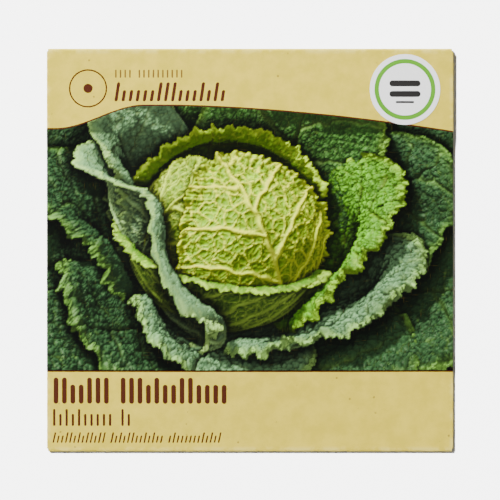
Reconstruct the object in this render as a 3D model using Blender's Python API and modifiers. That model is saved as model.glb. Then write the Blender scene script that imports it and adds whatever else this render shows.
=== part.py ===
"""Flat paper seed packet, lying on its back: one folded sheet, its glue, a sticker and loose seeds.

Metres, +Z up. The origin is the middle of the packet's back, where it rests. The front faces +Z and
its top edge is towards +Y. Run with: blender --background --python part.py
"""

import math
import random

import bmesh
import bpy
from mathutils import Vector

# Outer size of the folded packet.
PACKET_WIDTH = 0.1150
PACKET_HEIGHT = 0.1140

# The sheet. Plies that lie on each other keep a gap, which holds the glue.
PAPER_THICKNESS = 0.00016
PLY_GAP = 0.00030
PLY_PITCH = PAPER_THICKNESS + PLY_GAP

# Side flaps are folded in behind the front, and the back is folded up over them.
SIDE_FLAP_WIDTH = 0.0140
SIDE_FLAP_END_CLEARANCE = 0.00040
SIDE_FLAP_TAPER = 0.0040
BACK_SIDE_CLEARANCE = 0.00050
BACK_TOP_CLEARANCE = 0.0027

# The closing flap is folded down over the back. The plies above it step up onto it.
CLOSING_FLAP_LENGTH = 0.0200
CLOSING_FLAP_TAPER = 0.0050
STEP_CLEARANCE = 0.0020
STEP_LENGTH = 0.0080

# Glue strips, in the gaps between the plies.
GLUE_THICKNESS = 0.00010
GLUE_WIDTH = 0.0070
GLUE_END_GAP = 0.0090
SIDE_GLUE_INSET = 0.0040
FLAP_GLUE_INSET = 0.0100

# Seeds, loose in a patch in the middle, where the front stands proud enough to clear them.
SEED_DIAMETER = 0.0020
SEED_SPREAD = 0.08
SEED_COUNT = 40
SEED_CLEARANCE = 0.00030
SEED_SPACING = 0.00030
SEED_PATCH_RADIUS = 0.0185
SEED_ROUNDNESS = 2
SEED_DRAW = 7
PILLOW_POWER = 1.4

# Sticker, near the upper right corner of the front.
STICKER_DIAMETER = 0.0200
STICKER_THICKNESS = 0.00010
STICKER_GAP = 0.00030
STICKER_RIGHT_GAP = 0.0037
STICKER_TOP_GAP = 0.0016
STICKER_CELLS = 10

# Mesh density.
CELL_SIZE = 0.0075
FOLD_STEPS = 6
FLAP_STEPS = 2
STEP_ROWS = 4

# Folds: the sheet's middle surface turns half round on each radius.
SIDE_FOLD_RADIUS = PLY_PITCH / 2.0
BOTTOM_FOLD_RADIUS = PLY_PITCH
TOP_FOLD_RADIUS = 1.5 * PLY_PITCH
SIDE_FOLD = (PACKET_WIDTH - PAPER_THICKNESS) / 2.0 - SIDE_FOLD_RADIUS
BOTTOM_FOLD = (PACKET_HEIGHT - PAPER_THICKNESS) / 2.0 - BOTTOM_FOLD_RADIUS
TOP_FOLD = (PACKET_HEIGHT - PAPER_THICKNESS) / 2.0 - TOP_FOLD_RADIUS

# Heights of the middle surface of each ply, where it lies flat.
BACK_LEVEL = PAPER_THICKNESS / 2.0
FRONT_LEVEL = BACK_LEVEL + 2.0 * PLY_PITCH

# Where the plies finish stepping up onto the closing flap.
STEP_TOP = PACKET_HEIGHT / 2.0 - CLOSING_FLAP_LENGTH - STEP_CLEARANCE
SEED_LARGEST = SEED_DIAMETER * (1.0 + SEED_SPREAD)


def clear_scene():
    for obj in list(bpy.data.objects):
        bpy.data.objects.remove(obj)


def material(name, colour, roughness):
    made = bpy.data.materials.new(name)
    made.use_nodes = True
    shader = made.node_tree.nodes["Principled BSDF"]
    shader.inputs["Base Color"].default_value = (*colour, 1.0)
    shader.inputs["Roughness"].default_value = roughness
    shader.inputs["Metallic"].default_value = 0.0
    return made


def link(name, mesh, mat, collection):
    obj = bpy.data.objects.new(name, mesh)
    obj.data.materials.append(mat)
    collection.objects.link(obj)
    return obj


def stops(start, end, steps):
    """Evenly spaced grid lines after start, up to and including end."""
    return [start + (end - start) * (i + 1) / steps for i in range(steps)]


def cells(span):
    return max(1, math.ceil(abs(span) / CELL_SIZE))


def rows_through(*marks):
    """Grid lines through every mark and through the step, so that stacked plies share them there."""
    step = [STEP_TOP - STEP_LENGTH * i / STEP_ROWS for i in range(STEP_ROWS + 1)]
    lines = sorted({*marks, *(y for y in step if min(marks) < y < max(marks))})
    rows = lines[:1]
    for low, high in zip(lines, lines[1:]):
        rows += stops(low, high, cells(high - low))
    return rows


def step_up(y):
    """How far the plies above the closing flap are lifted at y."""
    share = min(1.0, max(0.0, (y - STEP_TOP + STEP_LENGTH) / STEP_LENGTH))
    return PLY_PITCH * share * share * (3.0 - 2.0 * share)


def pillow(x, y):
    """The swell of the front, from 0 at the folds to 1 in the middle."""
    across = max(0.0, 1.0 - (x / SIDE_FOLD) ** 2)
    along = max(0.0, 1.0 - (y / TOP_FOLD) ** 2)
    return (across * along) ** PILLOW_POWER


def swell():
    """Height of the swell that clears the largest seed all over its patch."""
    needed = SEED_LARGEST + 2.0 * SEED_CLEARANCE - (FRONT_LEVEL - BACK_LEVEL - PAPER_THICKNESS)
    diagonal = SEED_PATCH_RADIUS * math.sqrt(0.5)
    rim = [(SEED_PATCH_RADIUS, 0.0), (0.0, SEED_PATCH_RADIUS), (diagonal, diagonal)]
    return needed / min(pillow(x, y) for x, y in rim)


def front_height(x, y):
    """Height of the front's middle surface."""
    return FRONT_LEVEL + step_up(y) + swell() * pillow(x, y)


def fold(past, radius):
    """A point past a fold line: how far it gets beyond the line, and how far it drops."""
    if past <= 0.0:
        return past, 0.0
    turned = past / radius
    if turned < math.pi:
        return radius * math.sin(turned), radius * (1.0 - math.cos(turned))
    return math.pi * radius - past, 2.0 * radius


def sheet(name, columns, rows, keep, place, thickness, mat, collection):
    """A sheet on the kept cells of a grid, with each grid point put in place, then thickened."""
    cage = bmesh.new()
    bmesh.ops.create_grid(cage, x_segments=len(columns) - 1, y_segments=len(rows) - 1, size=1.0)
    for vert in cage.verts:
        column = round((vert.co.x + 1.0) / 2.0 * (len(columns) - 1))
        row = round((vert.co.y + 1.0) / 2.0 * (len(rows) - 1))
        vert.co = (columns[column], rows[row], 0.0)
    unused = [face for face in cage.faces if not keep(*face.calc_center_median().xy)]
    bmesh.ops.delete(cage, geom=unused, context="FACES")
    for vert in cage.verts:
        vert.co = place(vert.co.x, vert.co.y)
    mesh = bpy.data.meshes.new(name)
    cage.to_mesh(mesh)
    cage.free()
    mesh.shade_smooth()
    obj = link(name, mesh, mat, collection)
    wall = obj.modifiers.new("Wall", "SOLIDIFY")
    wall.thickness = thickness
    wall.offset = 0.0
    return obj


def paper_bag(mat, collection):
    """The flat net of the whole sheet, folded. Net points past a fold line are on a flap or the back."""
    back_half = SIDE_FOLD - BACK_SIDE_CLEARANCE
    flap_start = SIDE_FOLD + math.pi * SIDE_FOLD_RADIUS
    flap_end = flap_start + SIDE_FLAP_WIDTH
    half = stops(0.0, back_half, cells(back_half)) + [SIDE_FOLD]
    half += stops(SIDE_FOLD, flap_start, FOLD_STEPS) + stops(flap_start, flap_end, FLAP_STEPS)
    columns = [-x for x in reversed(half)] + [0.0] + half

    side_end = TOP_FOLD - SIDE_FLAP_END_CLEARANCE
    side_corner = side_end - 2.0 * SIDE_FLAP_TAPER
    front = rows_through(-BOTTOM_FOLD, -side_end, -side_corner, side_corner, side_end, TOP_FOLD)
    back_start = BOTTOM_FOLD + math.pi * BOTTOM_FOLD_RADIUS
    under = stops(BOTTOM_FOLD, back_start, FOLD_STEPS)[::-1]
    back = rows_through(-BOTTOM_FOLD, TOP_FOLD - BACK_TOP_CLEARANCE)
    closing_start = TOP_FOLD + math.pi * TOP_FOLD_RADIUS
    closing_end = closing_start + CLOSING_FLAP_LENGTH
    rows = [-(back_start + BOTTOM_FOLD + y) for y in back[:0:-1]] + [-y for y in under] + front
    rows += stops(TOP_FOLD, closing_start, FOLD_STEPS) + stops(closing_start, closing_end, FLAP_STEPS)

    def keep(x, y):
        if abs(x) > SIDE_FOLD:
            return abs(y) < side_end
        if y < -BOTTOM_FOLD or y > TOP_FOLD:
            return abs(x) < back_half
        return True

    def place(x, y):
        past_side = abs(x) - SIDE_FOLD
        past_top, past_bottom = y - TOP_FOLD, -y - BOTTOM_FOLD
        if past_side > 0.0:
            out, drop = fold(past_side, SIDE_FOLD_RADIUS)
            depth = max(0.0, abs(x) - flap_start) / SIDE_FLAP_WIDTH
            height = math.copysign(min(abs(y), side_end - SIDE_FLAP_TAPER * depth), y)
            return math.copysign(SIDE_FOLD + out, x), height, FRONT_LEVEL + step_up(height) - drop
        if past_top > 0.0:
            out, drop = fold(past_top, TOP_FOLD_RADIUS)
            depth = max(0.0, y - closing_start) / CLOSING_FLAP_LENGTH
            width = x * (1.0 - CLOSING_FLAP_TAPER / back_half * depth)
            return width, TOP_FOLD + out, FRONT_LEVEL + PLY_PITCH - drop
        if past_bottom > 0.0:
            out, drop = fold(past_bottom, BOTTOM_FOLD_RADIUS)
            height = -(BOTTOM_FOLD + out)
            return x, height, FRONT_LEVEL + step_up(height) - drop
        return x, y, front_height(x, y)

    return sheet("paper_bag", columns, rows, keep, place, PAPER_THICKNESS, mat, collection)


def side_glue(name, side, mat, collection):
    outer = PACKET_WIDTH / 2.0 - SIDE_GLUE_INSET
    columns = sorted([side * outer, side * (outer - GLUE_WIDTH)])
    end = PACKET_HEIGHT / 2.0 - GLUE_END_GAP
    rows = rows_through(-end, end)

    def place(x, y):
        return x, y, BACK_LEVEL + PLY_PITCH / 2.0 + step_up(y)

    return sheet(name, columns, rows, keep_all, place, GLUE_THICKNESS, mat, collection)


def flap_glue(mat, collection):
    half = PACKET_WIDTH / 2.0 - FLAP_GLUE_INSET
    columns = [-half] + stops(-half, half, cells(2.0 * half))
    lower = PACKET_HEIGHT / 2.0 - CLOSING_FLAP_LENGTH + GLUE_WIDTH / 2.0
    rows = [lower, lower + GLUE_WIDTH]

    def place(x, y):
        return x, y, BACK_LEVEL + PLY_PITCH / 2.0

    return sheet("flap_glue", columns, rows, keep_all, place, GLUE_THICKNESS, mat, collection)


def keep_all(x, y):
    return True


def sticker(mat, collection):
    """A disc that lies on the swell of the front."""
    radius = STICKER_DIAMETER / 2.0
    middle_x = PACKET_WIDTH / 2.0 - STICKER_RIGHT_GAP - radius
    middle_y = PACKET_HEIGHT / 2.0 - STICKER_TOP_GAP - radius
    lines = [-1.0] + stops(-1.0, 1.0, STICKER_CELLS)
    above = (PAPER_THICKNESS + STICKER_THICKNESS) / 2.0 + STICKER_GAP

    def place(across, along):
        x = middle_x + radius * across * math.sqrt(1.0 - along * along / 2.0)
        y = middle_y + radius * along * math.sqrt(1.0 - across * across / 2.0)
        return x, y, front_height(x, y) + above

    return sheet("badge_sticker", lines, lines, keep_all, place, STICKER_THICKNESS, mat, collection)


def seed_places():
    """Scatters the seeds over their patch without letting two touch."""
    draw = random.Random(SEED_DRAW)
    placed = []
    while len(placed) < SEED_COUNT:
        size = SEED_DIAMETER * (1.0 + SEED_SPREAD * draw.uniform(-1.0, 1.0))
        reach = (SEED_PATCH_RADIUS - size / 2.0) * math.sqrt(draw.random())
        angle = 2.0 * math.pi * draw.random()
        spot = Vector((reach * math.cos(angle), reach * math.sin(angle)))
        if all((spot - other).length > (size + taken) / 2.0 + SEED_SPACING for other, taken in placed):
            placed.append((spot, size))
    return placed


def seeds(mat, collection):
    """The seeds lie on the inside of the back."""
    floor = BACK_LEVEL + PAPER_THICKNESS / 2.0 + SEED_CLEARANCE
    for number, (spot, size) in enumerate(seed_places(), start=1):
        name = f"seed_{number:02d}"
        ball = bmesh.new()
        bmesh.ops.create_icosphere(ball, subdivisions=SEED_ROUNDNESS, radius=size / 2.0)
        mesh = bpy.data.meshes.new(name)
        ball.to_mesh(mesh)
        ball.free()
        mesh.shade_smooth()
        seed = link(name, mesh, mat, collection)
        seed.location = (spot.x, spot.y, floor + size / 2.0)


def main():
    clear_scene()
    collection = bpy.data.collections.new("seed_packet")
    bpy.context.scene.collection.children.link(collection)
    paper_bag(material("printed_paper", (0.67, 0.56, 0.18), 0.75), collection)
    glue_material = material("dried_glue", (0.80, 0.76, 0.62), 0.40)
    side_glue("side_glue_left", -1, glue_material, collection)
    side_glue("side_glue_right", 1, glue_material, collection)
    flap_glue(glue_material, collection)
    sticker(material("sticker_paper", (0.92, 0.93, 0.90), 0.40), collection)
    seeds(material("seed_coat", (0.09, 0.045, 0.03), 0.50), collection)


main()
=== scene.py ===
"""Looks of the seed packet: the folded and printed sheet, its picture, the sticker, glue and seeds.

Metres, in the frame's own axes. The picture is a generic savoy cabbage, worked out leaf by leaf.
"""

import math
from concurrent.futures import ThreadPoolExecutor

import bmesh
import bpy
import mathutils
import numpy as np
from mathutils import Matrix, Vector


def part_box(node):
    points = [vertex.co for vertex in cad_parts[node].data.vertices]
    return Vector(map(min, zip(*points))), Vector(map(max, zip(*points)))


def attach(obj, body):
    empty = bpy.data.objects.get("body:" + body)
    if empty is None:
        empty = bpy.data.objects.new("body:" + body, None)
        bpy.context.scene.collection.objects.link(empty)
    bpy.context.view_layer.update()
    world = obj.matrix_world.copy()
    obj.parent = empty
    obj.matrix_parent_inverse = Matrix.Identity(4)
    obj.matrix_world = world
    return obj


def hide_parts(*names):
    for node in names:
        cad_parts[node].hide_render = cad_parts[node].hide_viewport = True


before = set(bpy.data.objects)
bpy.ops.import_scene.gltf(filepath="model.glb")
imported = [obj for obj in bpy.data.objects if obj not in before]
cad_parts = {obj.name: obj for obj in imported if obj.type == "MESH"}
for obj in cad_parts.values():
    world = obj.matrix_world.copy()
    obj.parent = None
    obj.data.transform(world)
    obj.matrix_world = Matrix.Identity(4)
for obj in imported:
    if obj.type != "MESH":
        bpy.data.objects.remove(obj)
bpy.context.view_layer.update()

# ---- the sheet, as the CAD folds it

PAPER_THICKNESS = 0.00016
PLY_GAP = 0.0003
PLY_PITCH = PAPER_THICKNESS + PLY_GAP
SIDE_FLAP_WIDTH = 0.014
SIDE_FLAP_TAPER = 0.004
BACK_TOP_CLEARANCE = 0.0027
CLOSING_FLAP_LENGTH = 0.02
CLOSING_FLAP_TAPER = 0.005
STEP_CLEARANCE = 0.002
STEP_LENGTH = 0.008
PILLOW_POWER = 1.4
# Flaps and back stop this short of the folds. The CAD leaves more, so its corner notches are wider.
CORNER_CLEARANCE = 0.00005

LOW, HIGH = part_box("paper_bag")
WIDTH, HEIGHT = HIGH[0] - LOW[0], HIGH[1] - LOW[1]
SIDE_RADIUS, BOTTOM_RADIUS, TOP_RADIUS = PLY_PITCH / 2.0, PLY_PITCH, 1.5 * PLY_PITCH
SIDE_FOLD = (WIDTH - PAPER_THICKNESS) / 2.0 - SIDE_RADIUS
BOTTOM_FOLD = (HEIGHT - PAPER_THICKNESS) / 2.0 - BOTTOM_RADIUS
TOP_FOLD = (HEIGHT - PAPER_THICKNESS) / 2.0 - TOP_RADIUS
FRONT_LEVEL = PAPER_THICKNESS / 2.0 + 2.0 * PLY_PITCH
STEP_TOP = HEIGHT / 2.0 - CLOSING_FLAP_LENGTH - STEP_CLEARANCE
SWELL = HIGH[2] - PAPER_THICKNESS / 2.0 - FRONT_LEVEL
SIDE_END = TOP_FOLD - CORNER_CLEARANCE
SIDE_START = SIDE_FOLD + math.pi * SIDE_RADIUS
BACK_HALF = SIDE_FOLD - CORNER_CLEARANCE
BACK_START = BOTTOM_FOLD + math.pi * BOTTOM_RADIUS
BACK_END = BACK_START + BOTTOM_FOLD + TOP_FOLD - BACK_TOP_CLEARANCE
CLOSING_START = TOP_FOLD + math.pi * TOP_RADIUS
CLOSING_END = CLOSING_START + CLOSING_FLAP_LENGTH

# Soft waves in the front: height, length, and how far from the folds they fade out.
WAVE_HEIGHT = 0.00009
WAVE_LENGTH = 0.034
WAVE_FADE = 0.012

SHEET_CELL = 0.0016
FOLD_STEPS = 8

# ---- the print

# The picture's upper edge is level at the left, rises between two places and falls away from a third.
PICTURE_BOTTOM = -0.0341
EDGE_LEVEL = 0.0341
EDGE_RISE, RISE_FROM, RISE_TO = 0.0066, -0.055, -0.03
EDGE_FALL, FALL_FROM, FALL_LENGTH, FALL_POWER = 0.0074, -0.0239, 0.0814, 1.7
LINE_WIDTH = 0.00042

# The picture is a thin layer of ink, painted a little taller than it shows.
PICTURE_CELL = 0.00032
PAINTED_TOP = 0.041
INK_OFFSET = 0.00003
INK_THICKNESS = 0.00002
INK_FOLD_STEPS = 5
UNDERSIDE_STRIDE = 4

# Rows of plain round-ended strokes stand in for the lettering: left, base, low height, full height,
# pitch, stroke width, slant, how many, and which are left out between words.
DARK_TYPE = [
    (-0.0561, -0.0435, 0.0054, 0.0074, 0.00238, 0.00135, 0.0, 21, (7,)),
    (-0.0563, -0.0498, 0.0034, 0.0048, 0.00176, 0.00066, 0.0, 13, (10,)),
    (-0.0563, -0.0546, 0.0021, 0.0030, 0.00117, 0.00046, 0.22, 41, (13, 27)),
    (-0.0389, 0.0420, 0.0032, 0.0054, 0.00200, 0.00090, 0.15, 16, ()),
]
LIGHT_TYPE = [(-0.0386, 0.0487, 0.0023, 0.0023, 0.00133, 0.00044, 0.0, 15, (4,))]
SHARE_OF_LOW_STROKES = 0.62
EDGE_SOFTNESS = 0.00004
ICON_CENTRE = (-0.0458, 0.0457)
ICON_RADIUS = 0.0052
ICON_LINE = 0.00042

# ---- the plant in the picture

# The head is a globe inside a rosette of wrapper leaves.
HEAD_HEIGHT = 0.122
HEAD_RADIUS = 0.092
HEAD_FLATNESS = 0.93
STEM_RADIUS = 0.024
STALK_HALF_WIDTH = 0.014

# Steepness of the rosette in degrees: at the stem, and at the tip of its inmost and outmost leaves.
# It closes up round one azimuth and opens round another, each with a width.
START_ANGLE = 16.0
INNER_END, OUTER_END = 82.0, 33.0
CLOSED_SIDE, OPEN_SIDE = (212.0, 42.0), (15.0, 60.0)
PROFILE_STEPS = 16

# Width and height of veins. Then the depth of blisters and the heights of the coarse and fine frill.
MIDRIB = (0.0042, 0.0022)
SIDE_VEIN = (0.002, 0.001)
HEAD_RELIEF = (0.0024, 0.003, 0.0022)
WRAPPER_RELIEF = (0.0044, 0.0048, 0.0018)
RIM_WIDTH = 0.01
PALE_RIM_WIDTH = 0.0022

# Points along each side of a leaf, and the setback of the pixels that fill in between them.
HEAD_SAMPLES = 880
WRAPPER_SAMPLES = 680
SPLAT_SETBACK = 0.0008

PLANT_WIDTH = 0.405
PICTURE_TILT = 50.0
PICTURE_DISTANCE = 0.95
PICTURE_TARGET = np.array([0.022, -0.004, 0.118])
FAR = 0.55
GROUND = (0.006, 0.014, 0.006)

# Hollows are darkened by how far they lie below what is round them: pixels, strength.
PICTURE_LIGHT = np.array([-0.42, 0.42, 0.8])
SKYLIGHT, SUNLIGHT, SHADOW_DEPTH = 0.15, 1.8, 0.88
GLOSS, GLOSS_SHARPNESS, GLOSS_COLOUR = 0.13, 24, [0.8, 1.0, 0.6]
HOLLOWS = [(2, 0.42), (5, 0.5), (13, 0.6), (36, 0.78)]
HOLLOW_SLOPE = 1.1
SHADOW_STEPS, SHADOW_STRIDE, SHADOW_REACH = 40, 1.5, 0.1
SHADOW_EDGE = (0.002, 0.006)

# azimuth, radius added, length, half width, roll radius, roll angle, roundness, cell, tone
HEAD_LEAVES = [
    (205, -0.0040, 0.250, 0.098, 0.020, 10, 0.30, 0.0100, "deep"),
    (-58, 0.0030, 0.292, 0.122, 0.009, 60, 0.50, 0.0125, "bright"),
    (103, 0.0050, 0.226, 0.150, 0.0080, 120, 0.22, 0.0090, "lime"),
    (250, 0.0075, 0.186, 0.160, 0.0085, 120, 0.16, 0.0105, "mid"),
]

# The same, with the layer in the rosette instead of the radius added.
WRAPPER_LEAVES = [
    (-8, 0.02, 0.235, 0.120, 0.020, 60, 0.34, 0.0075, "green"),
    (150, 0.06, 0.262, 0.110, 0.012, 140, 0.34, 0.0080, "grey"),
    (58, 0.16, 0.262, 0.132, 0.030, 50, 0.36, 0.0060, "leafy"),
    (208, 0.26, 0.262, 0.122, 0.012, 165, 0.30, 0.0080, "grey"),
    (-42, 0.46, 0.258, 0.130, 0.040, 40, 0.36, 0.0085, "blue"),
    (100, 0.46, 0.262, 0.122, 0.030, 60, 0.38, 0.0065, "leafy"),
    (14, 0.68, 0.262, 0.130, 0.035, 45, 0.40, 0.0070, "dark"),
    (262, 0.72, 0.230, 0.120, 0.020, 60, 0.40, 0.0085, "blue"),
    (176, 0.76, 0.262, 0.125, 0.030, 55, 0.40, 0.0070, "dark"),
    (66, 0.92, 0.300, 0.140, 0.035, 45, 0.40, 0.0065, "dark"),
    (304, 1.00, 0.250, 0.130, 0.030, 45, 0.40, 0.0080, "dark"),
    (128, 1.00, 0.290, 0.130, 0.035, 45, 0.40, 0.0065, "dark"),
    (232, 1.00, 0.260, 0.125, 0.030, 45, 0.40, 0.0080, "dark"),
    (345, 1.10, 0.300, 0.140, 0.030, 45, 0.40, 0.0080, "dark"),
    (38, 1.15, 0.330, 0.140, 0.030, 45, 0.40, 0.0080, "dark"),
    (155, 1.15, 0.330, 0.140, 0.030, 45, 0.40, 0.0080, "dark"),
    (95, 1.20, 0.340, 0.140, 0.030, 45, 0.40, 0.0080, "dark"),
    (208, 1.25, 0.370, 0.150, 0.030, 45, 0.40, 0.0085, "dark"),
]

# tone: blade in the hollows, blade on the crests, veins
TONES = {
    "bright": ((0.034, 0.124, 0.001), (0.250, 0.490, 0.002), (0.880, 1.000, 0.040)),
    "lime": ((0.028, 0.110, 0.001), (0.180, 0.390, 0.003), (0.560, 0.760, 0.030)),
    "deep": ((0.035, 0.090, 0.002), (0.140, 0.260, 0.004), (0.480, 0.620, 0.040)),
    "mid": ((0.014, 0.065, 0.004), (0.080, 0.220, 0.010), (0.380, 0.580, 0.060)),
    "green": ((0.008, 0.055, 0.003), (0.105, 0.320, 0.010), (0.380, 0.640, 0.040)),
    "leafy": ((0.003, 0.022, 0.004), (0.049, 0.148, 0.021), (0.240, 0.440, 0.060)),
    "grey": ((0.009, 0.036, 0.016), (0.172, 0.338, 0.140), (0.400, 0.620, 0.180)),
    "blue": ((0.006, 0.029, 0.013), (0.122, 0.252, 0.104), (0.340, 0.580, 0.150)),
    "dark": ((0.002, 0.012, 0.004), (0.030, 0.082, 0.026), (0.170, 0.350, 0.060)),
}


# ==== small helpers


def smoothstep(low, high, x):
    share = np.clip((x - low) / (high - low), 0.0, 1.0)
    return share * share * (3.0 - 2.0 * share)


def bell(off, width):
    """1 at 0, fading to 0 on both sides."""
    return np.exp(-((off / width) ** 2))


def mirrored(lines):
    return np.concatenate([-lines[:0:-1], lines])


def scramble(i, j, salt):
    """Repeatable numbers from 0 to 1 for whole numbers i and j."""
    mixed = np.sin(i * 127.1 + j * 311.7 + salt * 74.7) * 43758.5453
    return mixed - np.floor(mixed)


def waves(x, y, size, salt):
    """Smooth noise, about from -1 to 1."""
    total = 0.0
    for turn in range(5):
        angle = 2.4 * turn + salt
        wave = 2.0 * math.pi / (size * (0.7 + 0.17 * turn))
        total = total + np.sin(wave * (x * math.cos(angle) + y * math.sin(angle)) + 1.7 * turn * salt)
    return total / 3.0


# ==== painting the picture


def net_cells(x, y, size, salt):
    """How far each point is from the nearest edge of a net of irregular cells, in cells, and a tint."""
    across, along = x / size, y / size
    i0, j0 = np.floor(across), np.floor(along)
    near = np.full_like(across, 9.0)
    second = np.full_like(across, 9.0)
    tint = np.zeros_like(across)
    for di in (-1, 0, 1):
        for dj in (-1, 0, 1):
            i, j = i0 + di, j0 + dj
            gap = np.hypot(
                i + 0.1 + 0.8 * scramble(i, j, salt) - across,
                j + 0.1 + 0.8 * scramble(i, j, salt + 1.0) - along,
            )
            closer = gap < near
            second = np.where(closer, near, np.minimum(second, gap))
            tint = np.where(closer, scramble(i, j, salt + 2.0), tint)
            near = np.minimum(near, gap)
    return second - near, tint


def near_azimuth(azimuth, centre, width):
    return bell((azimuth - centre + 180.0) % 360.0 - 180.0, width)


def flat_blade(across, along, length, half_width, roundness):
    reach = along * np.sqrt(1.0 - roundness * across**2)
    side = across * np.sqrt(1.0 - roundness * along**2)
    spread = STALK_HALF_WIDTH + (half_width - STALK_HALF_WIDTH) * smoothstep(-0.08, 0.62, reach)
    return side * spread, reach * length


def roll_rim(x, y, across, along, half_width, radius, angle):
    """Rolls the margin outwards. Returns x, y, height off the blade and distance from the margin."""
    nearness = (np.abs(across) ** 8 + along**8) ** 0.125
    inset = np.clip(1.0 - nearness, 0.0, None) * half_width
    turned = math.radians(angle) * smoothstep(0.2, 0.5, along)
    rolled = np.clip(radius * turned - inset, 0.0, None)
    turn = rolled / radius
    side, tip = np.sign(across) * np.abs(across) ** 5, along**5
    scale = np.maximum(np.hypot(side, tip), 1e-9)
    pull = radius * np.sin(turn) - rolled
    return x + pull * side / scale, y + pull * tip / scale, radius * (1.0 - np.cos(turn)), inset


def on_globe(x, y, height, azimuth, radius):
    """A point of a head leaf: y runs up and over the globe and x runs round it."""
    lowest = -math.acos(STEM_RADIUS / radius)
    climb, turn = lowest + y / radius, x / radius
    out = np.array([math.cos(math.radians(azimuth)), math.sin(math.radians(azimuth)), 0.0])
    side = np.array([-out[1], out[0], 0.0])
    direction = (
        (np.cos(turn) * np.cos(climb))[..., None] * out
        + np.sin(turn)[..., None] * side
        + (np.cos(turn) * np.sin(climb))[..., None] * np.array([0.0, 0.0, 1.0])
    )
    return (radius + height)[..., None] * direction * [1.0, 1.0, HEAD_FLATNESS] + [0.0, 0.0, HEAD_HEIGHT]


def profile(y, azimuth, layer):
    """Distance from the axis, height and steepness at y along a leaf. layer is 0 inside and 1 outside."""
    closing = near_azimuth(azimuth, *CLOSED_SIDE)
    inner = INNER_END + 36.0 * closing - 14.0 * near_azimuth(azimuth, *OPEN_SIDE)
    end = inner + (OUTER_END + 28.0 * closing - inner) * layer
    bend = 0.15 - 0.03 * layer

    def steepness(along):
        return np.radians(START_ANGLE + (end - START_ANGLE) * smoothstep(0.0, bend, along))

    out = up = 0.0
    for step in range(PROFILE_STEPS):
        part = steepness(y * (step + 0.5) / PROFILE_STEPS)
        out = out + np.cos(part) / PROFILE_STEPS
        up = up + np.sin(part) / PROFILE_STEPS
    return STEM_RADIUS + y * out, 0.029 - 0.0205 * layer + y * up, steepness(y)


def in_rosette(x, y, height, azimuth, layer):
    """A point of a wrapper leaf, which rises from the stem and cups the head."""
    y = np.maximum(y, 0.0)
    centre_line = profile(y, np.full_like(y, azimuth), layer)[0]
    around = azimuth + np.degrees(x / centre_line)
    out, up, steep = profile(y, around, layer)
    out = out + height * np.sin(steep)
    up = up - height * np.cos(steep)
    turn = np.radians(around)
    return np.stack([out * np.cos(turn), out * np.sin(turn), up], axis=-1)


def relief(x, y, inset, length, half_width, cell, salt, is_head):
    """Height of veins and blisters off the blade, and how much of each point is vein and crest."""
    warp_x = x + 0.002 * waves(x, y, 0.021, salt)
    warp_y = y + 0.002 * waves(y, x, 0.021, salt + 2.0)
    edge, tint = net_cells(warp_x, warp_y * 0.85, cell, salt)
    fine_edge, _ = net_cells(warp_x, warp_y, cell * 0.42, salt + 5.0)
    midrib_width = MIDRIB[0] * (1.0 - 0.75 * y / length)
    midrib = bell(warp_x * 0.6 + x * 0.4, midrib_width)
    spacing = 0.17 * length
    climb = warp_y - 0.8 * np.abs(warp_x) + 2.2 * warp_x**2 + np.where(x > 0.0, 0.5 * spacing, 0.0)
    off = np.abs(climb / spacing - np.round(climb / spacing)) * spacing * 0.75
    side_width = SIDE_VEIN[0] * np.clip(1.15 - np.abs(x) / half_width, 0.25, 1.0)
    secondary = bell(off, side_width) * smoothstep(0.0, 0.06 * length, y)
    net = 0.85 * bell(edge, 0.095)
    fine_net = 0.34 * bell(fine_edge, 0.12)
    vein = np.maximum(np.maximum(midrib, secondary), np.maximum(net, fine_net))
    dome = np.sqrt(np.clip(edge / 0.7, 0.0, 1.0)) * (0.75 + 0.5 * tint)
    fine_dome = np.sqrt(np.clip(fine_edge / 0.7, 0.0, 1.0))
    away = 1.0 - np.maximum(midrib, 0.8 * secondary)
    blister, frill, fine_frill = HEAD_RELIEF if is_head else WRAPPER_RELIEF
    height = MIDRIB[1] * midrib + SIDE_VEIN[1] * secondary
    height = height - blister * away * (0.75 * dome + 0.45 * fine_dome)
    wavy = frill * waves(x, y, 0.018, salt + 3.0) + fine_frill * waves(x, y, 0.0062, salt)
    height = height + np.exp(-inset / RIM_WIDTH) * wavy
    if not is_head:
        height = height + 0.006 * waves(x, y, 0.11, salt + 4.0) * smoothstep(0.05, 0.15, np.hypot(x, y))
    return height, vein, dome * 0.7 + fine_dome * 0.3


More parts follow.
